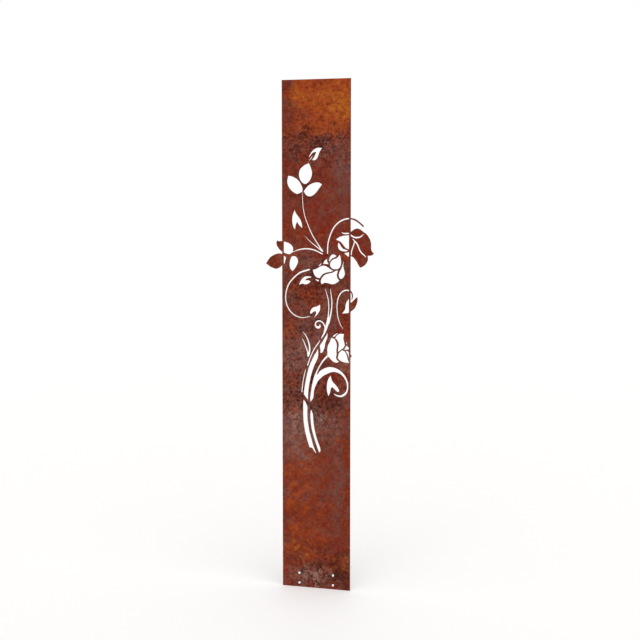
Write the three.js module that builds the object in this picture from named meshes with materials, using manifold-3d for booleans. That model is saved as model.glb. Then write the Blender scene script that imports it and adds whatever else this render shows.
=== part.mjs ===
// A tall, narrow garden screen: one upright sheet of weathering steel, 250 x 1800 mm, with a rose
// vine cut through it by laser. Inside the sheet the drawing is open and its veins are metal. Where
// it runs past the sheet's edges it turns round: the leaves, tendrils and petals are metal, the veins
// open. A closed rim stays along both edges between the two. The sheet is bolted to a bent steel foot
// behind it by four button-head screws, each with a washer and a nut.
//
// Millimetres, +Z up, the screen faces -Y. The origin is the middle of the sheet's bottom edge, on
// the floor.

import * as THREE from 'three';
import { mergeVertices } from 'three/addons/utils/BufferGeometryUtils.js';
import Module from 'manifold-3d';

const wasm = await Module();
wasm.setup();

// ---- driving sizes ------------------------------------------------------------------------------

// sheet
const sheetWidth = 250;
const sheetHeight = 1800;
const sheetThickness = 2;
const rimWidth = 6;

// the drawing's own field, which is stretched to the sheet
const drawingWidth = 250;
const drawingHeight = 1800;
const drawingTolerance = 0.15;
const edgeOverlap = 4;
const capSteps = 4;

// screws, washers and nuts (M5)
const screwSpacing = 125;
const screwRowPitch = 36;
const shankDiameter = 5;
const shankStickOut = 3.3;
const headDiameter = 9.5;
const headHeight = 2.8;
const headTopDiameter = 3.6;
const holeClearance = 0.3;
const washerBendGap = 0.5;
const washerDiameter = 10;
const washerThickness = 1;
const nutAcrossFlats = 8;
const nutThickness = 4.7;
const roundSides = 24;
const domeSteps = 5;

// foot
const footThickness = 5;
const footBendRadius = 4;
const footDepth = 300;
const footBackWidth = 84;
const footCornerRadius = 14;
const footSideMargin = 18;
const footTopMargin = 14.5;
const anchorHoleDiameter = 9;
const anchorHoleSpacing = 44;
const anchorHoleMargin = 24;

// ---- values that follow from them ---------------------------------------------------------------

const sheetFront = -sheetThickness / 2;
const sheetBack = sheetThickness / 2;
const screwHoleDiameter = shankDiameter + 2 * holeClearance;
const bendHeight = footThickness + footBendRadius;
const lowerScrewHeight = bendHeight + washerBendGap + washerDiameter / 2;
const screwRows = [lowerScrewHeight, lowerScrewHeight + screwRowPitch];
const screwColumns = [-screwSpacing / 2, screwSpacing / 2];
const footWidth = screwSpacing + 2 * footSideMargin;
const footHeight = screwRows[1] + footTopMargin;
const footBack = sheetBack + footDepth;
const washerSeat = sheetBack + footThickness;
const nutSeat = washerSeat + washerThickness;
const shankLength = nutSeat + nutThickness + shankStickOut - sheetFront;
const quarterSteps = roundSides / 4;
const cutMargin = 2;

// ---- solids -------------------------------------------------------------------------------------

function solidOf(geometry) {
  geometry.deleteAttribute('normal');
  geometry.deleteAttribute('uv');
  const merged = mergeVertices(geometry);
  const vertProperties = merged.attributes.position.array;
  const triVerts = new Uint32Array(merged.index.array);
  return new wasm.Manifold(new wasm.Mesh({ numProp: 3, vertProperties, triVerts }));
}

function geometryOf(solid) {
  const mesh = solid.getMesh();
  const geometry = new THREE.BufferGeometry();
  geometry.setAttribute('position', new THREE.BufferAttribute(mesh.vertProperties, 3));
  geometry.setIndex(new THREE.BufferAttribute(mesh.triVerts, 1));
  geometry.computeVertexNormals();
  return geometry;
}

// A shape drawn in X and Z becomes an upright plate between the planes y = front and y = back.
function uprightPlate(shape, front, back) {
  const geometry = new THREE.ExtrudeGeometry(shape, {
    depth: back - front,
    curveSegments: quarterSteps,
    bevelEnabled: false,
  });
  geometry.rotateX(Math.PI / 2);
  geometry.translate(0, back, 0);
  return solidOf(geometry);
}

// A shape drawn in X and Y becomes a level plate between the heights bottom and top.
function levelPlate(shape, bottom, top) {
  const geometry = new THREE.ExtrudeGeometry(shape, {
    depth: top - bottom,
    curveSegments: quarterSteps,
    bevelEnabled: false,
  });
  geometry.translate(0, 0, bottom);
  return solidOf(geometry);
}

// A round bar along Y between the planes y = front and y = back.
function crossBar(diameter, x, z, front, back) {
  const shape = new THREE.Shape().absarc(x, z, diameter / 2, 0, 2 * Math.PI);
  return uprightPlate(shape, front, back);
}

function rectangle(left, bottom, right, top) {
  return new THREE.Shape([
    new THREE.Vector2(left, bottom),
    new THREE.Vector2(right, bottom),
    new THREE.Vector2(right, top),
    new THREE.Vector2(left, top),
  ]);
}

function joined(solids) {
  return solids.reduce((whole, solid) => whole.add(solid));
}

// ---- drawing tools ------------------------------------------------------------------------------

// The vine is drawn in millimetres from the drawing's lower left corner: x to the right, z up.
function onSheet([x, z, width = 0]) {
  return new THREE.Vector3(
    (x / drawingWidth - 0.5) * sheetWidth,
    (z / drawingHeight) * sheetHeight,
    width,
  );
}

// Shares of a smooth curve at which its points are taken: closer together where a span between two
// of its stops bulges further from its chord.
function sharesOf(curve) {
  const spans = curve.points.length - 1;
  const shares = [0];
  for (let span = 0; span < spans; span += 1) {
    const [start, middle, end] = [0, 0.5, 1].map((share) => curve.getPoint((span + share) / spans));
    const bulge = middle.distanceTo(start.lerp(end, 0.5));
    const steps = Math.max(1, Math.ceil(Math.sqrt(bulge / drawingTolerance)));
    for (let step = 1; step <= steps; step += 1) {
      shares.push((span + step / steps) / spans);
    }
  }
  return shares;
}

// A closed outline made of smooth runs that meet at corners. Each run lists the points after the
// corner that it starts from, and the first run starts at the last run's end.
function outline(...runs) {
  let corner = runs.at(-1).at(-1);
  const points = runs.flatMap((run) => {
    const curve = new THREE.CatmullRomCurve3([corner, ...run].map(onSheet));
    corner = run.at(-1);
    return sharesOf(curve).slice(1).map((share) => curve.getPoint(share));
  });
  return new THREE.Shape(points.map((point) => new THREE.Vector2(point.x, point.y)));
}

// A band that follows a smooth line of [x, z, width] and has round ends.
function band(...stops) {
  const curve = new THREE.CatmullRomCurve3(stops.map(onSheet));
  const places = sharesOf(curve).map((share) => {
    const along = curve.getTangent(share);
    return { middle: curve.getPoint(share), heading: Math.atan2(along.y, along.x) };
  });
  const capTurns = Array.from(
    { length: capSteps - 1 },
    (_, turn) => Math.PI / 2 - ((turn + 1) * Math.PI) / capSteps,
  );
  return new THREE.Shape([
    ...places.map((place) => aside(place, Math.PI / 2)),
    ...capTurns.map((turn) => aside(places.at(-1), turn)),
    ...places.map((place) => aside(place, -Math.PI / 2)).reverse(),
    ...capTurns.map((turn) => aside(places[0], Math.PI + turn)),
  ]);
}

// The point half the band's width away from its middle line, at an angle to its heading.
function aside({ middle, heading }, angle) {
  const reach = middle.z / 2;
  return new THREE.Vector2(
    middle.x + reach * Math.cos(heading + angle),
    middle.y + reach * Math.sin(heading + angle),
  );
}

// ---- the vine -----------------------------------------------------------------------------------

// The bud at the top, split by a sepal, with a hairline cut under it.
const topBud = outline(
  [[131, 1564], [117, 1558.3], [106.5, 1547.4], [99.2, 1534.4]],
  [[101, 1532.6]],
  [[106, 1539.8], [114, 1547.8], [125.4, 1550.2]],
  [[121.6, 1540.6], [117.2, 1531], [110.2, 1522.4]],
  [[117, 1521.2], [125.6, 1524.6], [131.5, 1533.3], [135.2, 1545], [139.8, 1553.8], [146.5, 1562.6]],
);
const topBudHairline = band([100, 1521.5, 1.3], [105.5, 1527, 2.5], [111.5, 1535, 1.3]);

// Three leaves on one long stem, and the twig that leaves the stem at its foot.
const upperLeaf = outline(
  [[82, 1504], [67.1, 1490.7], [62.1, 1474], [66.5, 1453.8], [77.2, 1441.9], [87, 1439.4],
    [98.1, 1446.9], [107, 1461.2], [110.2, 1478], [106, 1494.7], [99, 1511]],
);
const leftLeaf = outline(
  [[36.6, 1465.7], [57, 1454.6], [69, 1439], [75.8, 1421.6], [73.6, 1411.8]],
  [[65, 1407.6], [55, 1404.9], [41.5, 1411.4], [28.8, 1422.8], [20.9, 1438], [19.3, 1452],
    [23, 1468]],
);
const rightLeaf = outline(
  [[139, 1442.4], [126, 1444.4], [110, 1440.6], [93.9, 1431.6], [79.6, 1413.6]],
  [[85.6, 1404], [95.8, 1396.7], [109, 1397.5], [123.7, 1407.9], [135.1, 1422.7], [146, 1436.8]],
);
const leafStem = band(
  [74.9, 1412, 1], [75.3, 1392, 2.2], [76.7, 1365, 2.4], [82.5, 1331, 2.8], [93.6, 1300, 3],
  [111.2, 1261, 3.3], [129.4, 1232.5, 3.5], [141.8, 1214, 4.5], [149, 1205, 4.4],
);
const leafTwig = band([83.5, 1258.3, 1.1], [103, 1238.8, 2.2], [126.5, 1220.6, 3.2], [147.5, 1205, 3.8]);

// The open bud beside the stem.
const leftBud = outline(
  [[49.8, 1339.4], [59, 1327], [67, 1315.6], [72, 1303.8], [74.4, 1285.6]],
  [[68.5, 1290.2], [61.2, 1297.6], [55.5, 1307]],
  [[51.3, 1299.4], [48, 1280.8]],
  [[42.4, 1287.5], [38.6, 1299.2], [36.8, 1313], [39, 1330.7], [46.6, 1349.4]],
);

// The spray that grows over the left edge: a stem, an upper and a lower leaf, and one large leaf
// that is almost wholly outside the sheet.
const sprayStem = band(
  [36, 1200.9, 2.4], [47, 1204.5, 1.8], [58, 1208.5, 3.1], [75, 1212.5, 3.9], [98, 1213, 4.1],
  [118, 1209.1, 3.9], [135, 1201.8, 3.9], [147.5, 1195.8, 3.9],
);
const sprayUpperLeaf = outline(
  [[-14, 1239], [-5, 1240], [8, 1237.5], [20.7, 1234.1], [30.5, 1229.2], [37.4, 1222],
    [40.7, 1214.8], [39, 1203]],
  [[34, 1197.6], [29, 1194]],
  [[20.5, 1194]],
  [[11.5, 1197.2], [2, 1201], [-8.6, 1208.6], [-15.4, 1216.6], [-20, 1225.5], [-21.3, 1234],
    [-18, 1242]],
);
const sprayLowerLeaf = outline(
  [[47, 1186.6], [53.7, 1182.1], [58.8, 1169.9], [54.7, 1156], [46.8, 1143.4], [38.6, 1134.2]],
  [[32.1, 1140], [27.9, 1150.2], [27.3, 1160], [30.8, 1177.6], [35.5, 1185], [40.5, 1187]],
);
const sprayLargeLeaf = outline(
  [[-55, 1168.2], [-46, 1180.5], [-38, 1186.7], [-23.8, 1193.4], [-14, 1195.9], [-4, 1195.2],
    [7, 1188.2], [14, 1180.8]],
  [[12.5, 1174.5], [9, 1160.8]],
  [[0, 1154.8], [-6, 1148.8], [-14, 1143.8], [-22.5, 1141.5], [-34, 1144.5], [-46, 1149.9],
    [-60, 1160.3]],
);

// The tendril that rings the left half, the bud inside it and the bud at its tip.
const leftTendril = band(
  [99.5, 1140.4, 5.2], [88, 1137.1, 5.2], [66, 1129.4, 4.9], [43.4, 1111.4, 4.4],
  [24.6, 1089.2, 4.3], [14.6, 1062, 4], [12.1, 1040, 4], [16.6, 1014.8, 3.9],
  [32.6, 988.8, 3.7], [53.8, 974.7, 3.3], [78, 970.5, 2.4], [102, 975.8, 1.5],
);
const ringBud = outline(
  [[65.5, 1094.8], [71.4, 1105.4], [80.2, 1113.3], [90, 1116.8], [106.3, 1115.4]],
  [[106.3, 1112.6]],
  [[97, 1111], [89, 1107.7], [82.6, 1101.6]],
  [[89.5, 1102.4], [95, 1102.9], [104.6, 1099]],
  [[101.6, 1094.9], [94.8, 1090.7], [87, 1088], [76, 1090.6], [68, 1089], [61.3, 1086.6]],
);
const tipBud = outline(
  [[140, 1008.3], [138.2, 997.4], [132.8, 987.9], [126.8, 980.4], [116.5, 970.9]],
  [[120.9, 978.3], [124.4, 985.6], [124.5, 993.8]],
  [[118.6, 994], [111.2, 988.8], [103.9, 983.9]],
  [[102.7, 990.3], [107, 1000], [115.2, 1007.8], [126.5, 1010.5], [132.4, 1013.6],
    [138.4, 1018.2]],
);

// The open rose in the middle: eight petals, with the veins between them left as metal.
const middleRose = [
  band([135.5, 1153.1, 1.8], [139.5, 1157.5, 3.2], [143.5, 1162, 1.8]),
  outline(
    [[153.9, 1168.8], [159.1, 1175], [165.3, 1179.2]],
    [[164.6, 1172], [166.8, 1166], [170.8, 1159.8]],
    [[162, 1160.9], [150.8, 1161.4]],
  ),
  outline(
    [[173.6, 1180.8], [178.4, 1189.9], [186.2, 1194.5], [198.8, 1189.8]],
    [[193.6, 1184.9], [184.1, 1181.4], [178.2, 1176], [173.8, 1169.6]],
    [[171.4, 1171.4]],
  ),
  outline(
    [[213.6, 1184.6], [215.8, 1170], [214.6, 1158.3], [210.8, 1149.6], [206, 1143.9]],
    [[197, 1143.1], [189, 1142.5], [180.7, 1147.3], [176.2, 1154.1], [176, 1162.6], [179.9, 1170.6],
      [187.1, 1176.6], [198.5, 1180.7], [205.5, 1186.7], [211, 1193.8]],
  ),
  outline(
    [[121, 1141], [133, 1147.4], [144.5, 1153.3], [156, 1154.3], [168, 1149.1], [178, 1141.8],
      [187, 1137.4]],
    [[179, 1133.8], [161, 1130.7], [150, 1125.2], [143, 1118.1], [138.5, 1111.2]],
    [[127.5, 1113], [119.5, 1120.5], [115, 1129.5], [112.8, 1139.6]],
  ),
  outline([[127, 1106], [135.3, 1103.8]], [[134.5, 1099.1]], [[127, 1101.3], [120.5, 1107.9]]),
  outline(
    [[141.6, 1098], [143.7, 1107.9], [150.2, 1117.3], [159.7, 1124.4], [174, 1127.8], [186, 1131],
      [194, 1136.2], [204.6, 1138.4]],
    [[202, 1130.5], [200.2, 1121], [203, 1111], [209.4, 1103.7]],
    [[202.3, 1097.4], [192, 1091.7], [181, 1090.2], [168, 1093.8], [156.5, 1095], [144.2, 1089.5]],
  ),
  outline(
    [[224.3, 1165.5], [223.4, 1155], [226.6, 1141], [229.4, 1129], [225.8, 1117.2], [216.5, 1109.3],
      [209.3, 1113.1], [207.2, 1123], [210.8, 1136.1], [218.1, 1149], [221.6, 1162.7],
      [227.6, 1174.8]],
  ),
];

// The tendril that arches over the right edge, above the second rose.
const rightArch = band(
  [166.6, 1198, 3.9], [166.7, 1217, 4.1], [168.9, 1236.7, 4.3], [175.9, 1260.5, 4.3],
  [187, 1284.4, 4.4], [203.4, 1303.2, 4.6], [222.2, 1314.5, 4.6], [243, 1319.1, 4.4],
  [262.3, 1316, 5.7], [280, 1305.7, 5.4], [294.6, 1292.5, 5],
);

// The rose on the right edge: open petals inside the sheet, and outside it one plate of metal
// petals with slots for veins. The slots stop short of the plate's edge, so the petals hold.
const edgeRosePetals = [
  band([217.5, 1270.8, 1.6], [224, 1267.8, 3.8], [234, 1267.4, 4.4], [254, 1268, 4.8]),
  outline(
    [[204, 1251.8], [214, 1256.8], [226, 1259.6], [252, 1261.5]],
    [[254, 1212]],
    [[236, 1215.1], [228, 1221.3], [220.4, 1231.4], [213, 1238.9], [205.3, 1242.4], [196.8, 1246]],
  ),
  outline(
    [[203.9, 1228.4], [204.6, 1219.3], [208.7, 1211.1], [217, 1206.8], [229, 1205], [236, 1206],
      [240.5, 1209]],
    [[230.4, 1211.5], [222.4, 1214.2], [215.9, 1221.9], [210.9, 1230.4], [205, 1235.9]],
  ),
  outline([[235, 1200.4], [250, 1205]], [[252, 1182]], [[239, 1189], [232.3, 1194], [226.4, 1199]]),
];
const edgeRosePlate = outline(
  [[250, 1272.6], [256, 1277.4], [264, 1282.5], [273, 1284.8], [283, 1282.7], [291, 1276.9],
    [297, 1272.2], [304.6, 1267.6], [311.5, 1259.8], [317.9, 1249.6], [321.9, 1238.8],
    [323.2, 1228], [322.8, 1215], [326, 1206], [333.5, 1198]],
  [[328.3, 1193.7], [322, 1191.1], [310.6, 1190.8]],
  [[312.2, 1180.8], [309.3, 1168.9], [302.6, 1159.7], [294.4, 1153.4], [285, 1149.1]],
  [[281.2, 1152.9], [271.7, 1170], [262.7, 1181.1], [256.3, 1187.3],
    [drawingWidth - edgeOverlap, 1188]],
  [[drawingWidth - edgeOverlap, 1269]],
);
const edgeRoseVeins = [
  band([247, 1264.2, 4.4], [257, 1257.2, 4.9], [264, 1254.4, 5.2], [272, 1253.3, 5.2],
    [281, 1254.8, 4.6], [288.5, 1258.4, 3.6], [295.3, 1265, 1.8]),
  band([264.6, 1241, 4], [262.3, 1232.5, 4], [259, 1222.5, 3.9], [255.1, 1212.5, 4],
    [253, 1203, 3.8], [252.6, 1193.5, 3.2]),
  band([257.8, 1248.1, 2.6], [263.5, 1241.5, 4], [269.9, 1235.9, 4.4], [274.8, 1228.5, 4.4],
    [278.4, 1220.1, 4.3], [282.1, 1210.3, 4.4], [287.5, 1202.3, 4.4], [294.1, 1195.9, 4.2],
    [300.8, 1190.3, 3.4], [304.8, 1186, 1.8]),
];

// The tendril and the bud that cross the right edge below the roses.
const edgeTendril = band(
  [223.6, 933.8, 1.3], [214.2, 947.3, 2.3], [206.4, 967.4, 2.8], [201.8, 991, 3.1],
  [201, 1012, 3.4], [202.9, 1033, 3.7], [209.4, 1052.1, 3.9], [220, 1064.7, 4],
  [232, 1069.7, 4], [243, 1069.5, 4], [250, 1066.2, 4.8], [255, 1059, 4.3], [256.7, 1049, 4.3],
  [254.2, 1038, 2.4],
);
const edgeBud = outline(
  [[226.6, 996.6], [230.7, 1006.6], [231.8, 1018], [236.3, 1030.6], [247, 1043]],
  [[248.3, 1034], [250.6, 1025.8]],
  [[258, 1032.8], [273.8, 1047.5]],
  [[275.2, 1037.5], [272.2, 1023], [264, 1006.3], [254, 998], [240, 990.4], [218.8, 988.8]],
);

// Two stems from the middle rose that run into one, and the small curl on it.
const twinStems = [
  band([158, 1073.5, 1.4], [163, 1057.5, 2.6], [168.6, 1038, 3], [170.9, 1018, 3.2],
    [170.4, 995, 3.4], [169, 975, 4.6], [167.5, 963, 4.8]),
  band([177.3, 1073.5, 1.4], [178.9, 1058, 2.7], [181.9, 1036, 3.6], [182, 1012, 4],
    [178.6, 987, 4.6], [174, 968, 6.1], [170.5, 954, 6.6]),
  band([169.3, 971, 8.2], [168, 958, 10.1], [164, 945, 9.7], [158.9, 930, 8.7], [153.2, 915, 5.5],
    [147.2, 905, 3.8], [143.7, 899, 1.9]),
];
const smallCurl = band(
  [158, 936, 4.8], [155.6, 944, 4.8], [150.2, 953, 4.4], [143, 958.8, 4.4], [134.4, 960.4, 4.4],
  [126, 956.8, 4.4], [121.8, 949, 4.8], [123.8, 941.6, 6], [129.9, 937, 7.7], [136.2, 938.4, 7.8],
  [139.1, 943, 5.8], [138.2, 948, 2.4],
);

// Two blades of grass, and the hairline that runs beside the main stem.
const blades = [
  band([76.5, 920, 1.6], [83.5, 912, 2.8], [91, 900, 3.6], [97, 885, 4.8], [100.7, 867, 5.6],
    [100.5, 852, 6.1], [97.2, 841, 7.5], [95.3, 834.5, 6]),
  band([72.5, 897.5, 1.4], [77.7, 889, 2.6], [83.3, 876.5, 3.6], [88.5, 863.5, 4], [92.7, 851, 4.4],
    [95, 842, 6.5], [95, 836, 6]),
];
const stemHairlines = [
  band([138.4, 892.3, 1.5], [134.6, 884.7, 3.1], [121.8, 866.5, 3.4], [110.7, 846.8, 3.4],
    [101.9, 826.3, 3.4], [95.4, 808, 4.2], [93.2, 802.2, 3.8]),
  band([86.9, 788.2, 1.5], [83.5, 776.4, 2.8], [77.8, 752, 2.9], [74.2, 728, 3.3],
    [72.1, 706.4, 3.5]),
];

// The main stem, in four lengths with a strip of metal left at each node.
const mainStem = [
  outline(
    [[162.2, 910.6], [157, 902.7], [149.1, 888.6], [139.7, 875.3], [138.1, 870]],
    [[140.3, 858.2], [140.5, 846.9]],
    [[146.9, 849.2], [153, 858.8], [156.3, 869.1], [157.6, 880.1], [161.2, 890.6], [166.2, 904],
      [166.2, 918.9]],
  ),
  outline(
    [[127, 852.1], [119.4, 840.7], [111.5, 825.7], [104.2, 810.3], [98.2, 795.3], [93.5, 779.4],
      [88.3, 757.4], [83.4, 731.4], [79.8, 707], [79.5, 697.9]],
    [[87, 687.3], [95, 678.9]],
    [[95.2, 700], [98.3, 728.5], [104.5, 759], [111.9, 785.3], [119.1, 804.7], [126.6, 819.5],
      [131.7, 833.7], [132.9, 848], [131.6, 861.5]],
  ),
  outline(
    [[76.8, 664], [76.7, 640], [77.5, 610], [81, 580.2], [87.1, 550.8], [95, 524.8], [99.7, 509.4]],
    [[104.3, 508], [109.8, 506.8], [113.9, 501.2], [118.8, 494.6], [122.6, 489.9]],
    [[125.3, 489.9]],
    [[118.7, 504], [113.2, 518.7], [108.9, 534.5], [104.6, 550], [100.3, 564.5], [96.6, 585],
      [93.1, 606], [92.4, 630], [92.5, 653.7]],
    [[86.5, 668.5], [78.2, 680.2]],
  ),
  outline(
    [[103.4, 632], [103.6, 618], [105.4, 595], [108.1, 575], [116.4, 545.5], [124.9, 520],
      [132.5, 499.4], [136.5, 491.9], [141, 500.5], [138.6, 511.5], [129.4, 535.3], [121.7, 561.8],
      [116.6, 586.8], [114.4, 606], [112.7, 628.7], [105.6, 645.2]],
  ),
];

// The great curl low on the right, with the thin stem that it sends up to the lower rose.
const greatCurl = outline(
  [[102.6, 682], [103.3, 693], [105.3, 707], [109.7, 733], [117.5, 763], [126.2, 783],
    [134.5, 799.1], [147.4, 820.5], [155.7, 830.3], [164.8, 840.1]],
  [[168.5, 835.1]],
  [[156.4, 822.6], [148.5, 812.8], [141.9, 803.6], [135.6, 792.1], [130.2, 780], [126.8, 767.8]],
  [[132, 773], [139, 783.1], [152.2, 791.4], [167, 797.2], [179, 798.2], [191, 796.7],
    [204, 791.9], [216.5, 784], [228.3, 772.4], [236.1, 759.7], [241.7, 744.8], [242.4, 730],
    [240.3, 715.2], [230.6, 700], [213, 693.3], [196.2, 698], [187.4, 707]],
  [[197.5, 701.9], [206, 699.3], [214.3, 699.5], [221.8, 702.5], [228.7, 707.9], [234.3, 715.3],
    [237.3, 727], [235.8, 743.8], [230.3, 756.6], [221.3, 768.3], [211.3, 776.1], [202.3, 779.8],
    [190, 781.7], [178, 779.7], [166, 774.4], [152.8, 767.5], [141.7, 758.2], [132.9, 749],
    [126.7, 738], [121.8, 727], [117.8, 715.5], [115.9, 703], [115.1, 691], [112.3, 683],
    [103.8, 672]],
);
const curlBud = outline(
  [[180.1, 758.5], [186.2, 745.3], [196.7, 735.3], [205.2, 724.4], [209.2, 714], [204, 710.4]],
  [[198.6, 714.4], [191.6, 721.4], [183.5, 727.9]],
  [[178.8, 723], [176.1, 708], [170, 694.6]],
  [[165.8, 707], [163.7, 725], [165.7, 744], [171.2, 759.3], [177.7, 768]],
);

// The lower rose, and the tip of its last petal, which just reaches over the right edge.
const lowerRosePetals = [
  outline(
    [[166.3, 850], [165.5, 859], [167.5, 873], [173, 884.5], [177.5, 894], [180, 902.6]],
    [[185.7, 900.1], [191, 899.1]],
    [[197, 890.3], [200.2, 880], [200.7, 870], [198.8, 859], [199.8, 845], [197.3, 831.5]],
    [[201.5, 824], [208.3, 818.2]],
    [[200, 814.7], [190, 816.7], [179.5, 824.1], [173.8, 831.5], [168.8, 835], [165.5, 841]],
  ),
  outline(
    [[198.3, 907.9], [204.8, 913.7], [213.2, 917.4], [226.7, 916.1]],
    [[224.8, 908], [224.4, 898], [227.6, 886.5], [229.3, 876.5], [225.1, 868.3]],
    [[216, 861.5], [204.8, 852.5]],
    [[205.2, 863], [207.4, 875], [206.4, 885.5], [200.9, 895.1], [195, 900.8]],
  ),
  outline(
    [[211.7, 852.7], [206.9, 845.9], [205.7, 838], [203.7, 830.2]],
    [[211.2, 823.5], [221, 818.5], [233, 816], [245.8, 815.3]],
    [[240.6, 826], [237.8, 837.7], [234.5, 847.3], [228.1, 855.7], [219.4, 858.9]],
  ),
  outline(
    [[232.4, 869.9], [227.5, 861.9]],
    [[232.7, 860.9], [239, 862.7], [249, 861.1]],
    [[243.3, 869.9], [235.8, 876.4]],
  ),
  outline([[191, 912], [198, 916.9], [206, 920.6]], [[199.1, 914.1], [193.9, 908.4], [190.7, 905.2]],
    [[184.8, 906.9]]),
  outline(
    [[238.5, 857.4], [245.5, 851.1], [254.8, 840.3]],
    [[243.5, 830]],
    [[241.2, 842], [237.9, 849.4], [232.6, 855]],
  ),
  band([235.8, 888.2, 1.2], [236.2, 882.5, 2.8]),
];
const lowerRoseTip = outline(
  [[drawingWidth - edgeOverlap, 851], [drawingWidth, 846.2], [drawingWidth + 4.8, 840.3]],
  [[drawingWidth + 1, 834], [drawingWidth - edgeOverlap, 824]],
);

const insideCuts = [
  topBud, topBudHairline, upperLeaf, leftLeaf, rightLeaf, leafStem, leafTwig, leftBud, sprayStem,
  sprayUpperLeaf, sprayLowerLeaf, sprayLargeLeaf, leftTendril, ringBud, tipBud, ...middleRose,
  rightArch, ...edgeRosePetals, edgeTendril, edgeBud, ...twinStems, smallCurl, ...blades,
  ...stemHairlines, ...mainStem, greatCurl, curlBud, ...lowerRosePetals,
];
const outsideMetal = [
  sprayUpperLeaf, sprayLargeLeaf, rightArch, edgeRosePlate, edgeTendril, edgeBud,
  lowerRoseTip,
];

// ---- the sheet ----------------------------------------------------------------------------------

function makeSheet() {
  const halfWidth = sheetWidth / 2;
  const throughSheet = (shape) => uprightPlate(shape, sheetFront - cutMargin, sheetBack + cutMargin);
  const plainSheet = rectangle(-halfWidth, 0, halfWidth, sheetHeight);
  const withinRim = rectangle(
    rimWidth - halfWidth,
    rimWidth,
    halfWidth - rimWidth,
    sheetHeight - rimWidth,
  );
  const blank = joined(
    [plainSheet, ...outsideMetal].map((shape) => uprightPlate(shape, sheetFront, sheetBack)),
  );
  const inside = joined(insideCuts.map(throughSheet)).intersect(throughSheet(withinRim));
  const outside = joined(edgeRoseVeins.map(throughSheet)).subtract(throughSheet(plainSheet));
  const holes = joined(screwHoles(sheetFront - cutMargin, sheetBack + cutMargin));
  return geometryOf(blank.subtract(inside).subtract(outside).subtract(holes));
}

function screwHoles(front, back) {
  return screwColumns.flatMap((x) =>
    screwRows.map((z) => crossBar(screwHoleDiameter, x, z, front, back)),
  );
}

// ---- the foot -----------------------------------------------------------------------------------

// An angle bent from one plate: the upright leg lies on the sheet's back, the level leg runs back
// along the floor and narrows. Seen from the side it is an L with a round bend.
function makeFoot() {
  const inner = footBendRadius;
  const outer = footBendRadius + footThickness;
  const bend = new THREE.Shape();
  bend.moveTo(sheetBack, footHeight);
  bend.lineTo(sheetBack, outer);
  bend.absarc(sheetBack + outer, outer, outer, Math.PI, 1.5 * Math.PI);
  bend.lineTo(footBack, 0);
  bend.lineTo(footBack, footThickness);
  bend.lineTo(sheetBack + outer, footThickness);
  bend.absarc(sheetBack + outer, outer, inner, 1.5 * Math.PI, Math.PI, true);
  bend.lineTo(sheetBack + footThickness, footHeight);
  const bar = new THREE.ExtrudeGeometry(bend, {
    depth: footWidth,
    curveSegments: quarterSteps,
    bevelEnabled: false,
  });
  // The profile's own axes become Y and Z, and its depth runs along X.
  bar.rotateX(Math.PI / 2);
  bar.rotateZ(Math.PI / 2);
  bar.translate(-footWidth / 2, 0, 0);

  const withinPlan = levelPlate(footPlan(), -cutMargin, footHeight + cutMargin);
  const withinFace = uprightPlate(footFace(), -cutMargin, footBack + cutMargin);
  const anchors = [-anchorHoleSpacing / 2, anchorHoleSpacing / 2].map((x) => {
    const hole = new THREE.Shape();
    hole.absarc(x, footBack - anchorHoleMargin, anchorHoleDiameter / 2, 0, 2 * Math.PI);
    return levelPlate(hole, -cutMargin, footThickness + cutMargin);
  });
  const bores = screwHoles(-cutMargin, sheetBack + footThickness + cutMargin);
  return geometryOf(
    solidOf(bar)
      .intersect(withinPlan)
      .intersect(withinFace)
      .subtract(joined([...anchors, ...bores])),
  );
}

// The foot from above: as wide as its upright leg at the bend, narrower and rounded at the back.
function footPlan() {
  const bendEnd = sheetBack + bendHeight;
  const halfFront = footWidth / 2;
  const halfBack = footBackWidth / 2;
  const round = footCornerRadius;
  const plan = new THREE.Shape();
  plan.moveTo(-halfFront, -cutMargin);
  plan.lineTo(halfFront, -cutMargin);
  plan.lineTo(halfFront, bendEnd);
  plan.lineTo(halfBack, footBack - round);
  plan.quadraticCurveTo(halfBack, footBack, halfBack - round, footBack);
  plan.lineTo(round - halfBack, footBack);
  plan.quadraticCurveTo(-halfBack, footBack, -halfBack, footBack - round);
  plan.lineTo(-halfFront, bendEnd);
  return plan;
}

// The foot from the front, with its two upper corners rounded.
function footFace() {
  const half = footWidth / 2;
  const round = footCornerRadius;
  const face = new THREE.Shape();
  face.moveTo(-half, -cutMargin);
  face.lineTo(half, -cutMargin);
  face.lineTo(half, footHeight - round);
  face.absarc(half - round, footHeight - round, round, 0, Math.PI / 2);
  face.absarc(round - half, footHeight - round, round, Math.PI / 2, Math.PI);
  return face;
}

// ---- fasteners ----------------------------------------------------------------------------------

// The profiles below run along +Y when turned about the axis: y is along the screw.
function makeScrew() {
  const topRadius = headTopDiameter / 2;
  const headRadius = headDiameter / 2;
  const dome = Array.from({ length: domeSteps + 1 }, (_, step) => {
    const turn = (step / domeSteps) * (Math.PI / 2);
    return new THREE.Vector2(
      topRadius + (headRadius - topRadius) * Math.sin(turn),
      -headHeight * Math.cos(turn),
    );
  });
  const profile = [
    new THREE.Vector2(0, -headHeight),
    ...dome,
    new THREE.Vector2(shankDiameter / 2, 0),
    new THREE.Vector2(shankDiameter / 2, shankLength),
    new THREE.Vector2(0, shankLength),
  ];
  return geometryOf(turned(profile));
}

function turned(profile) {
  return solidOf(new THREE.LatheGeometry(profile, roundSides));
}

function makeWasher() {
  const ring = new THREE.Shape();
  ring.absarc(0, 0, washerDiameter / 2, 0, 2 * Math.PI);
  const disc = uprightPlate(ring, 0, washerThickness);
  return geometryOf(disc.subtract(crossBar(screwHoleDiameter, 0, 0, -cutMargin, nutThickness)));
}

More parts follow.
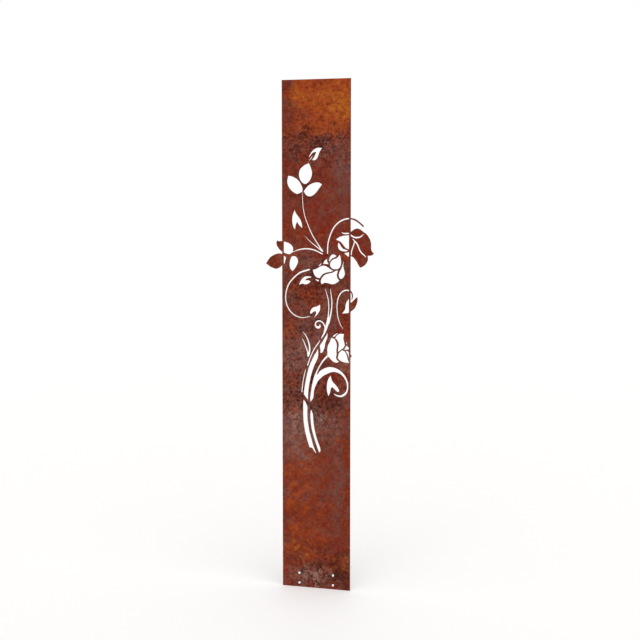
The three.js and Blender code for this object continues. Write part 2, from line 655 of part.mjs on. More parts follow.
function makeNut() {
  const cornerRadius = nutAcrossFlats / 2 / Math.cos(Math.PI / 6);
  const corners = Array.from({ length: 6 }, (_, corner) => {
    const angle = (corner * Math.PI) / 3;
    return new THREE.Vector2(cornerRadius * Math.cos(angle), cornerRadius * Math.sin(angle));
  });
  const block = uprightPlate(new THREE.Shape(corners), 0, nutThickness);
  const bore = crossBar(screwHoleDiameter, 0, 0, -cutMargin, nutThickness + cutMargin);
  return geometryOf(block.subtract(bore));
}

// ---- materials and assembly ---------------------------------------------------------------------

const rustedSteel = new THREE.MeshStandardMaterial({
  name: 'rusted_steel',
  color: '#7a3d22',
  roughness: 0.85,
  metalness: 0.2,
});
const brightSteel = new THREE.MeshStandardMaterial({
  name: 'bright_steel',
  color: '#d6d6d4',
  roughness: 0.3,
  metalness: 0.9,
});

const screen = new THREE.Group();

function place(name, geometry, material, x = 0, y = 0, z = 0) {
  const mesh = new THREE.Mesh(geometry, material.clone());
  mesh.name = name;
  mesh.position.set(x, y, z);
  screen.add(mesh);
}

place('sheet', makeSheet(), rustedSteel);
place('foot', makeFoot(), rustedSteel);

const fastenerNames = ['lower_left', 'upper_left', 'lower_right', 'upper_right'];
const fastenerPlaces = screwColumns.flatMap((x) => screwRows.map((z) => ({ x, z })));
fastenerPlaces.forEach(({ x, z }, index) => {
  const where = fastenerNames[index];
  place(`screw_${where}`, makeScrew(), brightSteel, x, sheetFront, z);
  place(`washer_${where}`, makeWasher(), brightSteel, x, washerSeat, z);
  place(`nut_${where}`, makeNut(), brightSteel, x, nutSeat, z);
});

export default screen;
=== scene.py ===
import math

import bmesh
import bpy
import numpy as np
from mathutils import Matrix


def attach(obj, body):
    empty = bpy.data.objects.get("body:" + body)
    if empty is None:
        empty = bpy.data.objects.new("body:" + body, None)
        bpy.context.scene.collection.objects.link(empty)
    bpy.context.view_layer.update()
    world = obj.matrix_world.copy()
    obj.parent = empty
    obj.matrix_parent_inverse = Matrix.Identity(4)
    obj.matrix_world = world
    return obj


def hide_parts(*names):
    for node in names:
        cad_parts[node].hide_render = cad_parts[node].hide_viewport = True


# Laser cut garden screen: a rusted sheet on a bent foot, held by four screws with washers and nuts.
# Metres, Z up, the screen faces -Y and stands on the floor at Z = 0.

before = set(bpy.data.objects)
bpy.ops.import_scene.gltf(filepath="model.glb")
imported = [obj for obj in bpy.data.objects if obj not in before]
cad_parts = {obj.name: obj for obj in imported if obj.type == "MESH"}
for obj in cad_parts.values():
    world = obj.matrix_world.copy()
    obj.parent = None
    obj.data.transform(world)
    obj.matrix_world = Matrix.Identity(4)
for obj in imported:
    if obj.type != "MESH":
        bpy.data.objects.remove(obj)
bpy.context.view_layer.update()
print("frame loaded:", len(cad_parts), "parts")

scene = bpy.context.scene
mm = 0.001


# ---- helpers

def toLinear(hexColour):
    # each channel c of the hex colour becomes ((c + 0.055) / 1.055) to the power 2.4, or c / 12.92 near black
    channels = [int(hexColour[i:i + 2], 16) / 255 for i in (1, 3, 5)]
    return tuple(c / 12.92 if c <= 0.04045 else ((c + 0.055) / 1.055) ** 2.4 for c in channels) + (1.0,)


def addNode(tree, kind, settings=None, **inputs):
    # settings are the node's own choices, inputs are its sockets by name: a value, or an output to link
    node = tree.nodes.new(kind)
    for name, value in (settings or {}).items():
        setattr(node, name, value)
    for name, value in inputs.items():
        key = int(name[1:]) if name[0] == "n" and name[1:].isdigit() else name.replace("_", " ")
        socket = node.inputs[key]
        if isinstance(value, bpy.types.NodeSocket):
            tree.links.new(value, socket)
        else:
            socket.default_value = value
    return node


def newMaterial(name):
    material = bpy.data.materials.new(name)
    material.use_nodes = True
    material.node_tree.nodes.clear()
    return material


def dress(obj, material):
    # the imported part keeps its mesh, and only its object's slots change
    for slot in obj.material_slots:
        slot.link = "OBJECT"
        slot.material = material


seamGap = 1e-6  # doubled points closer than this are one
sharpFrom = 32  # degrees between faces from which an edge stays sharp


def addPiece(name, points, faces, material, standsFor):
    # points are in place already, so the object stays at the origin; faces turn outwards where the signed volume,
    # the sum of a . (b x c) / 6 over the faces' triangles, comes out negative
    a, b, c, d = (points[faces[:, i]] for i in range(4))
    volume = np.einsum("ij,ij->i", a, np.cross(b, c)).sum() + np.einsum("ij,ij->i", a, np.cross(c, d)).sum()
    if volume < 0:
        faces = faces[:, ::-1]
    mesh = bpy.data.meshes.new(name)
    mesh.from_pydata(points.tolist(), [], faces.tolist())
    # poles and the row where a ring closes are doubled points, which are merged into one
    shape = bmesh.new()
    shape.from_mesh(mesh)
    bmesh.ops.remove_doubles(shape, verts=shape.verts, dist=seamGap)
    shape.to_mesh(mesh)
    shape.free()
    mesh.shade_smooth()
    mesh.set_sharp_from_angle(angle=math.radians(sharpFrom))
    piece = bpy.data.objects.new(name, mesh)
    scene.collection.objects.link(piece)
    mesh.materials.append(material)
    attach(piece, "root")
    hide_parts(standsFor)
    return piece


# ---- camera, where the photograph was taken from: 4.5 m away, right of the screen, looking 5 degrees down

view = {
    "place": (1.2740, -4.2823, 1.3580),
    "tilt": 84.951,
    "turn": 16.396,
    "lens": 71.75,
    "sensor": 36,
    "reach": 200,
}

lens = bpy.data.cameras.new("camera")
lens.sensor_fit = "HORIZONTAL"
lens.sensor_width = view["sensor"]
lens.lens = view["lens"]
lens.clip_end = view["reach"]
camera = bpy.data.objects.new("camera", lens)
camera.location = view["place"]
camera.rotation_euler = (math.radians(view["tilt"]), 0, math.radians(view["turn"]))
scene.collection.objects.link(camera)
scene.camera = camera
scene.view_settings.view_transform = "Standard"
print("camera set")


# ---- weathering steel

# what the crust has in common on every piece
crust = {
    "pushDetail": 3.0,
    "pushRoughness": 0.6,
    "spotDetail": 6.0,
    "gapRate": 0.7,  # how close the gaps in the pale lines come, against the spots
    "gapDetail": 3.0,
    "gapRange": (0.46, 0.56),
    "grainDetail": 4.0,
    "grainRoughness": 0.7,
    "lightestGrain": 1.12,
    "dustyGrain": 2.0,
    "dustCover": 0.5,
    "wallRange": (0.4, 0.6),
    "smoothest": 0.72,
    "roughest": 0.95,
    "bumpStrength": 0.25,
    "bumpHeight": 0.4,
}


def patchMask(tree, place, patches):
    # each patch (middle x, middle z, half width, half height, strength, in mm) is a cone that falls from its
    # strength at the middle to nothing at its rim; the mask is their sum
    total = 0.0
    for x, z, halfWidth, halfHeight, strength in patches:
        centred = addNode(tree, "ShaderNodeMapping", Vector=place, Location=(-x / halfWidth, 0, -z / halfHeight),
                          Scale=(1 / (halfWidth * mm), 0, 1 / (halfHeight * mm)))
        cone = addNode(tree, "ShaderNodeTexGradient", {"gradient_type": "SPHERICAL"}, Vector=centred.outputs["Vector"])
        total = addNode(tree, "ShaderNodeMath", {"operation": "MULTIPLY_ADD"}, n0=cone.outputs["Fac"], n1=strength,
                        n2=total).outputs["Value"]
    return total


def brokenLines(tree, noise, place, layer):
    # thin curled lines: the contour where the noise passes through its middle value
    away = addNode(tree, "ShaderNodeMath", {"operation": "SUBTRACT"}, n0=noise, n1=0.5).outputs["Value"]
    away = addNode(tree, "ShaderNodeMath", {"operation": "ABSOLUTE"}, n0=away).outputs["Value"]
    line = addNode(tree, "ShaderNodeMapRange", Value=away, From_Max=layer["lines"], To_Min=1.0, To_Max=0.0)
    # a second noise breaks the lines up into short scribbles
    gaps = addNode(tree, "ShaderNodeTexNoise", Vector=place, Scale=crust["gapRate"] / (layer["spotSize"] * mm),
                   Detail=crust["gapDetail"])
    gaps = addNode(tree, "ShaderNodeMapRange", Value=gaps.outputs["Fac"], From_Min=crust["gapRange"][0],
                   From_Max=crust["gapRange"][1])
    return addNode(tree, "ShaderNodeMath", {"operation": "MULTIPLY"}, n0=line.outputs["Result"],
                   n1=gaps.outputs["Result"]).outputs["Value"]


def weatheringSteel(name, look):
    # rust patina grown outdoors on hot rolled weathering steel: dry and dull, its colour patchy at three scales
    material = newMaterial(name)
    tree = material.node_tree
    place = addNode(tree, "ShaderNodeTexCoord").outputs["Object"]

    # the two faces of the sheet are only 2 mm apart, so depth is stretched to give each its own pattern
    place = addNode(tree, "ShaderNodeMapping", Vector=place, Scale=(1, look["faceDifference"], 1)).outputs["Vector"]

    # ragged edges: every place is pushed about by two noises before the patches are laid
    ragged = place
    for size, push in look["raggedness"]:
        noise = addNode(tree, "ShaderNodeTexNoise", Vector=place, Scale=1 / (size * mm), Detail=crust["pushDetail"],
                        Roughness=crust["pushRoughness"])
        offset = addNode(tree, "ShaderNodeVectorMath", {"operation": "SUBTRACT"}, n0=noise.outputs["Color"],
                         n1=(0.5, 0.5, 0.5))
        offset = addNode(tree, "ShaderNodeVectorMath", {"operation": "SCALE"}, n0=offset.outputs["Vector"],
                         Scale=push * mm)
        ragged = addNode(tree, "ShaderNodeVectorMath", {"operation": "ADD"}, n0=ragged,
                         n1=offset.outputs["Vector"]).outputs["Vector"]

    # each pigment lies where its patches and its own noise add up to more than a half
    colour = toLinear(look["redOxide"])
    for layer in look["layers"]:
        noise = addNode(tree, "ShaderNodeTexNoise", Vector=place, Scale=1 / (layer["spotSize"] * mm),
                        Detail=crust["spotDetail"], Roughness=layer["spotRoughness"]).outputs["Fac"]
        if "lines" in layer:
            noise = brokenLines(tree, noise, place, layer)
        level = addNode(tree, "ShaderNodeMath", {"operation": "ADD"}, n0=patchMask(tree, ragged, layer["patches"]),
                        n1=layer["level"] - layer["contrast"] / 2)
        amount = addNode(tree, "ShaderNodeMath", {"operation": "MULTIPLY_ADD"}, n0=noise, n1=layer["contrast"],
                         n2=level.outputs["Value"])
        amount = addNode(tree, "ShaderNodeMapRange", {"interpolation_type": "SMOOTHSTEP"},
                         Value=amount.outputs["Value"], From_Min=0.5 - layer["softness"],
                         From_Max=0.5 + layer["softness"], To_Max=layer["cover"])
        colour = addNode(tree, "ShaderNodeMix", {"data_type": "RGBA"}, n0=amount.outputs["Result"], n6=colour,
                         n7=toLinear(layer["colour"])).outputs[2]

    # grain: the fine light and dark of the crust, stronger where the patina is speckled
    grain = addNode(tree, "ShaderNodeTexNoise", Vector=place, Scale=1 / (look["grainSize"] * mm),
                    Detail=crust["grainDetail"], Roughness=crust["grainRoughness"]).outputs["Fac"]
    strength = addNode(tree, "ShaderNodeMath", {"operation": "MULTIPLY_ADD"},
                       n0=patchMask(tree, ragged, look["specklePatches"]), n1=look["speckleStrength"],
                       n2=look["grainStrength"])
    lightness = addNode(tree, "ShaderNodeMath", {"operation": "SUBTRACT"}, n0=grain, n1=0.5)
    lightness = addNode(tree, "ShaderNodeMath", {"operation": "MULTIPLY_ADD"}, n0=lightness.outputs["Value"],
                        n1=strength.outputs["Value"], n2=1.0).outputs["Value"]
    shade = addNode(tree, "ShaderNodeMath", {"operation": "MINIMUM"}, n0=lightness, n1=crust["lightestGrain"])
    colour = addNode(tree, "ShaderNodeVectorMath", {"operation": "SCALE"}, n0=colour,
                     Scale=shade.outputs["Value"]).outputs["Vector"]
    # its lightest grains are dusty as well as light
    dust = addNode(tree, "ShaderNodeMapRange", Value=lightness, From_Min=1.0, From_Max=crust["dustyGrain"],
                   To_Max=crust["dustCover"])
    colour = addNode(tree, "ShaderNodeMix", {"data_type": "RGBA"}, n0=dust.outputs["Result"], n6=colour,
                     n7=toLinear(look["grainBloom"])).outputs[2]

    # the walls that the laser cut face sideways, and are painted a darker colour than the faces
    facing = addNode(tree, "ShaderNodeNewGeometry").outputs["True Normal"]
    facing = addNode(tree, "ShaderNodeSeparateXYZ", Vector=facing).outputs["Y"]
    facing = addNode(tree, "ShaderNodeMath", {"operation": "ABSOLUTE"}, n0=facing).outputs["Value"]
    wall = addNode(tree, "ShaderNodeMapRange", Value=facing, From_Min=crust["wallRange"][0],
                   From_Max=crust["wallRange"][1], To_Min=look["wallCover"], To_Max=0.0)
    colour = addNode(tree, "ShaderNodeMix", {"data_type": "RGBA"}, n0=wall.outputs["Result"], n6=colour,
                     n7=toLinear(look["darkWallColour"])).outputs[2]

    # rough and uneven, so it takes light evenly and shows no highlight
    roughness = addNode(tree, "ShaderNodeMapRange", Value=grain, To_Min=crust["smoothest"], To_Max=crust["roughest"])
    bump = addNode(tree, "ShaderNodeBump", Height=grain, Strength=crust["bumpStrength"],
                   Distance=crust["bumpHeight"] * mm)
    shader = addNode(tree, "ShaderNodeBsdfPrincipled", Base_Color=colour, Metallic=0.0,
                     Specular_IOR_Level=look["gloss"], Roughness=roughness.outputs["Result"],
                     Normal=bump.outputs["Normal"])
    addNode(tree, "ShaderNodeOutputMaterial", Surface=shader.outputs["BSDF"])
    return material


# the sheet: places in mm from the middle of its bottom edge, as seen from the front
sheetLook = {
    "redOxide": "#732c1a",
    # the darker colour painted on the sideways cut walls
    "darkWallColour": "#3f170c",
    "wallCover": 0.8,
    "gloss": 0.1,
    "faceDifference": 60,
    "raggedness": ((110, 90), (28, 30)),
    "grainSize": 9,  # coarser than real grain, so that it shows from a few metres
    "grainStrength": 1.4,
    "grainBloom": "#8a5a45",
    "speckleStrength": 6.0,
    "specklePatches": (
        (50, 1720, 170, 160, 0.25), (0, 1580, 230, 140, 0.8), (-40, 1130, 200, 180, 0.6), (0, 960, 220, 130, 0.55),
        (-40, 720, 220, 240, 0.8), (-80, 860, 130, 110, 0.1), (0, 40, 150, 100, 1.0),
    ),
    "layers": (
        {   # grey-violet oxide, where the crust is oldest
            "colour": "#6f463e", "cover": 0.9, "softness": 0.6,
            "spotSize": 62, "spotRoughness": 0.72, "contrast": 4.0, "level": 0.1,
            "patches": (
                (-95, 1730, 60, 110, 0.35), (35, 1560, 190, 150, 0.45), (115, 1480, 80, 140, 0.8),
                (-80, 1420, 100, 80, 0.5), (85, 1400, 90, 130, 0.4), (15, 1340, 100, 70, 0.4),
                (-30, 1175, 180, 90, 0.9), (60, 1140, 90, 90, 0.5), (-110, 1110, 70, 120, 0.3),
                (80, 1060, 90, 110, 0.5), (-105, 1000, 70, 70, 0.5), (10, 985, 100, 70, 0.5),
                (-30, 880, 150, 140, 0.9), (-70, 750, 90, 110, 0.8), (20, 930, 90, 70, 0.5), (105, 850, 80, 90, 0.6),
                (-30, 610, 210, 150, 1.2), (100, 690, 60, 90, 0.5), (90, 560, 70, 100, 0.2), (80, 300, 36, 280, 0.6),
                (10, 380, 90, 100, 0.3), (0, 45, 120, 80, 1.0), (-65, 330, 70, 60, 0.3), (-100, 1400, 60, 80, 0.4),
                (-80, 520, 110, 90, 0.8), (-60, 440, 110, 70, 0.3), (-80, 30, 80, 60, 0.7), (100, 440, 70, 80, 0.3),
            ),
        },
        {   # fresh orange rust
            "colour": "#a24517", "cover": 0.9, "softness": 0.6,
            "spotSize": 55, "spotRoughness": 0.72, "contrast": 3.6, "level": -0.1,
            "patches": (
                (50, 1725, 170, 160, 1.4), (-40, 1770, 100, 80, 0.6), (40, 1650, 130, 70, 0.6),
                (105, 1750, 60, 110, 1.2), (-70, 1620, 90, 80, 0.2), (-70, 1490, 70, 70, 0.3),
                (-50, 1290, 130, 80, 0.3), (45, 1050, 60, 60, 0.3), (-100, 930, 60, 50, 0.3),
                (-100, 820, 70, 70, 0.2), (-40, 455, 160, 70, 0.5), (-70, 380, 110, 90, 0.3),
                (-50, 270, 150, 190, 0.5), (110, 940, 50, 60, 0.5), (-90, 1225, 80, 60, 0.4),
                (-40, 190, 110, 70, 0.2), (-20, 120, 170, 70, 0.2), (-110, 50, 60, 80, 0.3),
            ),
        },
        {   # blood-red rust in small spots between the others
            "colour": "#7c2413", "cover": 0.85, "softness": 0.6,
            "spotSize": 26, "spotRoughness": 0.7, "contrast": 5.0, "level": 0.0,
            "patches": (
                (0, 1360, 200, 150, 0.3), (-30, 1290, 160, 100, 0.5), (60, 1220, 120, 120, 0.5),
                (60, 1080, 120, 120, 0.3), (90, 930, 90, 90, 0.5), (20, 720, 120, 90, 0.3),
            ),
        },
        {   # yellow ochre bloom on the youngest rust
            "colour": "#b4681c", "cover": 0.8, "softness": 0.6,
            "spotSize": 16, "spotRoughness": 0.7, "contrast": 4.5, "level": -0.5,
            "patches": (
                (40, 1745, 130, 100, 0.9), (-70, 1745, 70, 60, 0.8), (100, 1690, 60, 70, 0.6),
                (-80, 150, 90, 80, 0.7), (60, 90, 90, 60, 0.7), (110, 1700, 50, 90, 0.5), (-105, 925, 50, 45, 0.8),
                (110, 110, 50, 70, 0.4),
            ),
        },
        {   # dark, nearly black scale in the damp places
            "colour": "#3d1408", "cover": 0.8, "softness": 0.8,
            "spotSize": 42, "spotRoughness": 0.82, "contrast": 6.0, "level": -0.5,
            "patches": (
                (-105, 1765, 70, 70, 0.7), (-70, 1590, 130, 110, 0.9), (50, 1585, 120, 90, 0.5),
                (115, 1500, 50, 70, 0.4), (-90, 1530, 60, 60, 0.5), (-60, 1450, 80, 90, 0.7),
                (95, 1140, 60, 100, 0.7), (40, 1120, 90, 80, 1.1), (-60, 1400, 60, 60, 0.7),
                (-100, 1085, 60, 60, 0.5), (-85, 960, 70, 50, 0.2), (100, 1020, 60, 90, 0.3),
                (-10, 1100, 90, 50, 0.8), (-105, 1050, 60, 70, 0.8), (-40, 960, 100, 50, 0.6),
                (20, 1180, 200, 80, 0.3), (25, 720, 100, 130, 1.1), (-95, 720, 80, 80, 0.9),
                (75, 640, 100, 100, 0.9), (-10, 620, 120, 100, 0.5), (40, 130, 80, 70, 0.6), (105, 60, 70, 110, 1.3),
                (15, 60, 120, 70, 1.0), (-20, 780, 90, 60, 0.5),
            ),
        },
        {   # dusty, weathered bloom over the oldest crust
            "colour": "#8c665a", "cover": 0.8, "softness": 0.7,
            "spotSize": 30, "spotRoughness": 0.8, "contrast": 5.0, "level": -0.6,
            "patches": (
                (-80, 560, 130, 130, 1.2), (50, 580, 110, 100, 0.8), (-20, 640, 90, 70, 0.6),
                (-60, 820, 140, 140, 1.0), (100, 850, 80, 100, 1.0), (0, 910, 120, 70, 0.6),
                (-60, 460, 110, 70, 0.6), (105, 770, 60, 120, 0.8), (100, 1050, 60, 90, 0.5), (-90, 30, 70, 50, 0.5),
                (0, 50, 120, 80, 0.9), (60, 1560, 140, 110, 0.4), (115, 1480, 60, 120, 0.5),
                (-30, 1175, 130, 70, 0.6),
            ),
        },
        {   # pale flecks, where salt and lime dried on the crust
            "colour": "#b08c80", "cover": 0.68, "softness": 0.4,
            "spotSize": 13, "spotRoughness": 0.68, "contrast": 1.0, "level": -0.5, "lines": 0.045,
            "patches": (
                (-70, 610, 140, 120, 1.1), (50, 600, 110, 90, 0.9), (0, 40, 120, 85, 1.4), (-90, 860, 90, 80, 0.7),
                (80, 1590, 120, 80, 0.6),
            ),
        },
    ),
}

# the foot: the same steel, younger and more even, darker where water lies on it
footLook = {
    "redOxide": "#732c1a",
    "darkWallColour": "#3f170c",
    # the darker colour painted on the sideways cut walls, unused here since its cover is nothing
    "wallCover": 0.0,
    "gloss": 0.1,
    "faceDifference": 1,
    "raggedness": ((110, 60), (28, 20)),
    "grainSize": 9,  # coarser than real grain, so that it shows from a few metres
    "grainStrength": 1.6,
    "grainBloom": "#8a5a45",
    "speckleStrength": 0.0,
    "specklePatches": (),
    "layers": (
        {   # grey-violet oxide
            "colour": "#6f463e", "cover": 0.9, "softness": 0.6,
            "spotSize": 62, "spotRoughness": 0.72, "contrast": 4.0, "level": 0.35,
            "patches": (),
        },
        {   # fresh orange rust
            "colour": "#9a431b", "cover": 0.9, "softness": 0.6,
            "spotSize": 48, "spotRoughness": 0.72, "contrast": 3.6, "level": 0.3,
            "patches": (),
        },
        {   # dark scale
            "colour": "#3d1408", "cover": 0.7, "softness": 0.8,
            "spotSize": 36, "spotRoughness": 0.8, "contrast": 6.0, "level": -0.3,
            "patches": (),
        },
    ),
}

dress(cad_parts["sheet"], weatheringSteel("weathered_sheet_patina", sheetLook))
dress(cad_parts["foot"], weatheringSteel("weathered_foot_patina", footLook))
print("steel dressed")


# ---- screws, washers and nuts

def turnedPiece(radii, depths, sides):
    # rows of points round a Y axis: row i, side j lies at (radius ij * cos angle j, depth ij, radius ij * sin angle j);
    # neighbouring rows are joined by four-sided faces
    rows = radii.shape[0]
    angles = np.arange(sides) * 2 * np.pi / sides
    points = np.stack([radii * np.cos(angles), depths, radii * np.sin(angles)], axis=-1).reshape(-1, 3)
    i, j = np.meshgrid(np.arange(rows - 1), np.arange(sides), indexing="ij")
    k = (j + 1) % sides
    faces = np.stack([i * sides + j, i * sides + k, (i + 1) * sides + k, (i + 1) * sides + j], axis=-1).reshape(-1, 4)
    return points, faces


def polygonReach(acrossFlats, sides, count=6):
    # distance from the middle to a regular polygon's edge: half its width over the cosine of the angle off the
    # nearest flat
    angles = np.arange(sides) * 2 * np.pi / sides
    offFlat = (angles % (2 * np.pi / count)) - np.pi / count
    return acrossFlats / 2 / np.cos(offFlat)


def brightSteel(name, look):
    # stainless steel, cold formed and tumbled: a soft bright sheen, broken by fine scuffs
    material = newMaterial(name)
    tree = material.node_tree
    place = addNode(tree, "ShaderNodeTexCoord").outputs["Object"]
    scuffs = addNode(tree, "ShaderNodeTexNoise", Vector=place, Scale=1 / (look["scuffSize"] * mm),
                     Detail=look["scuffDetail"], Roughness=look["scuffRoughness"]).outputs["Fac"]
    colour = addNode(tree, "ShaderNodeMix", {"data_type": "RGBA"}, n0=scuffs, n6=toLinear(look["duller"]),
                     n7=toLinear(look["brighter"])).outputs[2]
    roughness = addNode(tree, "ShaderNodeMapRange", Value=scuffs, To_Min=look["smoothest"],
                        To_Max=look["roughest"]).outputs["Result"]
    bump = addNode(tree, "ShaderNodeBump", Height=scuffs, Strength=look["bumpStrength"],
                   Distance=look["bumpHeight"] * mm).outputs["Normal"]
    shader = addNode(tree, "ShaderNodeBsdfPrincipled", Base_Color=colour, Metallic=1.0, Roughness=roughness,
                     Normal=bump)
    addNode(tree, "ShaderNodeOutputMaterial", Surface=shader.outputs["BSDF"])
    return material


# lengths in mm; depth runs backwards from the middle of the sheet's thickness
screw = {
    "sides": 72,
    "headTop": -3.8,
    "headEdge": -1.3,
    "headSeat": -1.0,
    "headRadius": 4.75,
    "crownEdge": 2.0,
    "crownSteps": 15,
    "cornerCut": 0.12,
    "socket": 3.0,
    "socketMouth": 1.87,
    "socketFloor": -2.25,
    "socketPoint": -1.85,
    "pointShare": 0.75,
    "shankRadius": 2.5,
    "shankEnd": 15.0,
    "endCut": 0.6,
    "endCutLength": 0.8,
    "threadStart": -0.8,
    "threadRunIn": 1.5,
    "threadRows": 176,
    "threadDepth": 0.42,
    "threadSteepness": 1.25,
    "pitch": 0.8,
    "slack": 0.02,
}
nut = {
    "sides": 72,
    "across": 8.0,
    "front": 7.0,
    "back": 11.7,
    "bore": 2.52,
    "countersink": 2.9,
    "countersinkDepth": 0.35,
    "chamferRadius": 3.85,
    "chamferSlope": 0.55,
    "chamferSteps": (0, 0.1, 0.25, 0.45, 0.7, 1.0),
}
washer = {"sides": 64, "front": 6.0, "back": 7.0, "outer": 5.0, "inner": 2.75, "rounding": 0.22, "roundSteps": 6}
fastenerColumns = {"left": -62.5, "right": 62.5}
fastenerRows = {"lower": 14.5, "upper": 50.5}

shine = brightSteel("tumbled_stainless", {
    "scuffSize": 1.2,
    "scuffDetail": 4.0,
    "scuffRoughness": 0.6,
    "duller": "#f0efec",
    "brighter": "#faf9f7",
    "smoothest": 0.18,
    "roughest": 0.34,
    "bumpStrength": 0.2,
    "bumpHeight": 0.03,
})


def stackRows(rows, sides):
    # rows are (radius, depth) pairs: a radius is one number, or one for each side, and is spread over all sides
    radii = np.array([radius * np.ones(sides) for radius, depth in rows])
    depths = np.array([depth * np.ones(sides) for radius, depth in rows])
    return radii, depths


def screwShape(s):
    # button head: pointed socket floor, six-sided socket wall, flat crown, a crown that falls on a quarter ellipse
    # to the head's edge, and the head's underside
    reach = polygonReach(s["socket"], s["sides"])
    crownHeight = s["headEdge"] - s["headTop"]
    crownWidth = s["headRadius"] - s["crownEdge"]
    rows = [(0, s["socketPoint"]), (s["pointShare"] * reach, s["socketFloor"]), (reach, s["socketFloor"]),
            (reach, s["headTop"] + s["cornerCut"]), (s["socketMouth"], s["headTop"]), (s["crownEdge"], s["headTop"])]
    for t in np.linspace(0, np.pi / 2, s["crownSteps"])[1:]:
        rows.append((s["crownEdge"] + crownWidth * math.sin(t), s["headTop"] + crownHeight * (1 - math.cos(t))))
    rows += [(s["headRadius"], s["headSeat"] - s["cornerCut"]), (s["headRadius"] - s["cornerCut"], s["headSeat"]),
             (s["shankRadius"], s["headSeat"])]
    radii, depths = stackRows(rows, s["sides"])
    # thread: the radius falls from crest to root and back once for each pitch, and slides round by a pitch a turn
    along = np.linspace(s["threadStart"], s["shankEnd"] - s["slack"], s["threadRows"])[:, None]
    angles = np.arange(s["sides"]) * 2 * np.pi / s["sides"]
    phase = (along / s["pitch"] - angles / (2 * np.pi)) % 1
    ridge = np.clip(s["threadSteepness"] * np.abs(2 * phase - 1), 0.0, 1.0)
    fade = np.clip((along - s["threadStart"]) / s["threadRunIn"], 0, 1)
    endCone = np.clip((s["shankEnd"] - along) / s["endCutLength"], 0, 1) * s["endCut"]
    endCone = endCone + (s["shankRadius"] - s["endCut"])
    thread = np.minimum(s["shankRadius"] - s["slack"] - s["threadDepth"] * ridge * fade, endCone)
    tipRadii, tipDepths = stackRows([(0, s["shankEnd"])], s["sides"])
    radii = np.vstack([radii, thread, tipRadii])
    depths = np.vstack([depths, along + 0 * angles, tipDepths])
    return turnedPiece(radii, depths, s["sides"])


def nutShape(s):
    # six flats cut by a cone at both ends, the bore countersunk: rows run round the wall and back through the bore
    reach = polygonReach(s["across"], s["sides"])
    steps = np.array(s["chamferSteps"])
    cone = s["chamferRadius"] + steps / s["chamferSlope"]
    frontEnd = [(np.minimum(reach, r), s["front"] + d) for r, d in zip(cone, steps)]
    backEnd = [(np.minimum(reach, r), s["back"] - d) for r, d in zip(cone[::-1], steps[::-1])]
    bore = [(s["countersink"], s["back"]), (s["bore"], s["back"] - s["countersinkDepth"]),
            (s["bore"], s["front"] + s["countersinkDepth"]), (s["countersink"], s["front"])]
    return turnedPiece(*stackRows(bore[-1:] + frontEnd + backEnd + bore, s["sides"]), s["sides"])


def washerShape(s):
    # a punched ring with its outer edges rounded on quarter circles
    r = s["rounding"]
    turn = np.linspace(0, np.pi / 2, s["roundSteps"])
    rows = [(s["inner"], s["front"])]
    rows += [(s["outer"] - r + r * math.sin(t), s["front"] + r - r * math.cos(t)) for t in turn]
    rows += [(s["outer"] - r + r * math.cos(t), s["back"] - r + r * math.sin(t)) for t in turn]
    rows += [(s["inner"], s["back"]), (s["inner"], s["front"])]
    return turnedPiece(*stackRows(rows, s["sides"]), s["sides"])


shapes = {"screw": screwShape(screw), "nut": nutShape(nut), "washer": washerShape(washer)}
for rowName, height in fastenerRows.items():
    for columnName, across in fastenerColumns.items():
        for kind, (points, faces) in shapes.items():
            where = rowName + "_" + columnName
            placed = (points + (across, 0, height)) * mm
            addPiece(kind + "_detailed_" + where, placed, faces, shine, kind + "_" + where)
print("fasteners made")


# ---- floor, light and background

studio = {
    "floorSize": 60.0,
    "floorColour": "#f2f1f0",
    "floorRoughness": 0.6,
    "floorIor": 1.36,
    "floorGlow": 0.19,
    "skyLight": 0.62,
    "sunLight": 1.3,
    "sunSoftness": 80,
    "sunTilt": 48,
    "sunTurn": 30,
}

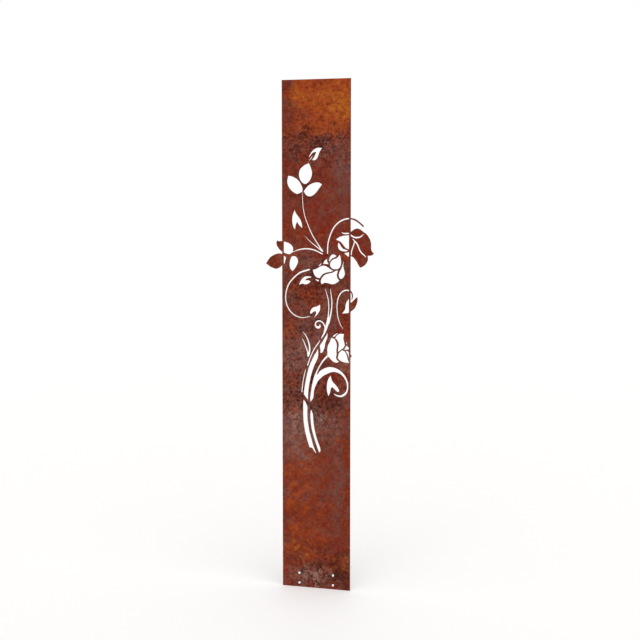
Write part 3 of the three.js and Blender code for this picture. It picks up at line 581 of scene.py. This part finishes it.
floorMaterial = newMaterial("white_satin_floor")
tree = floorMaterial.node_tree
rays = addNode(tree, "ShaderNodeLightPath")
floorShader = addNode(tree, "ShaderNodeBsdfPrincipled", Base_Color=toLinear(studio["floorColour"]),
                      Roughness=studio["floorRoughness"], IOR=studio["floorIor"], Emission_Color=(1, 1, 1, 1))
# the floor looks nearly white to the camera, and adds no light of its own to the screen
glow = addNode(tree, "ShaderNodeMath", {"operation": "MULTIPLY"}, n0=rays.outputs["Is Camera Ray"],
               n1=studio["floorGlow"])
tree.links.new(glow.outputs["Value"], floorShader.inputs["Emission Strength"])
addNode(tree, "ShaderNodeOutputMaterial", Surface=floorShader.outputs["BSDF"])

half = studio["floorSize"] / 2
floorMesh = bpy.data.meshes.new("floor")
floorMesh.from_pydata([(-half, -half, 0), (half, -half, 0), (half, half, 0), (-half, half, 0)], [], [(0, 1, 2, 3)])
floorMesh.materials.append(floorMaterial)
floor = bpy.data.objects.new("floor", floorMesh)
scene.collection.objects.link(floor)

world = bpy.data.worlds.new("white_studio")
world.use_nodes = True
tree = world.node_tree
tree.nodes.clear()
rays = addNode(tree, "ShaderNodeLightPath")
# white for the camera and in reflections, and dimmer where it only lights
seen = addNode(tree, "ShaderNodeMath", {"operation": "MAXIMUM"}, n0=rays.outputs["Is Camera Ray"],
               n1=rays.outputs["Is Glossy Ray"])
seen = addNode(tree, "ShaderNodeMath", {"operation": "MAXIMUM"}, n0=seen.outputs["Value"],
               n1=rays.outputs["Is Transmission Ray"])
strength = addNode(tree, "ShaderNodeMapRange", Value=seen.outputs["Value"], To_Min=studio["skyLight"], To_Max=1.0)
sky = addNode(tree, "ShaderNodeBackground", Color=(1, 1, 1, 1), Strength=strength.outputs["Result"])
addNode(tree, "ShaderNodeOutputWorld", Surface=sky.outputs["Background"])
scene.world = world

sun = bpy.data.lights.new("soft_key", "SUN")
sun.energy = studio["sunLight"]
sun.angle = math.radians(studio["sunSoftness"])
sunObject = bpy.data.objects.new("soft_key", sun)
sunObject.rotation_euler = (math.radians(studio["sunTilt"]), 0, math.radians(studio["sunTurn"]))
scene.collection.objects.link(sunObject)
print("studio lit")
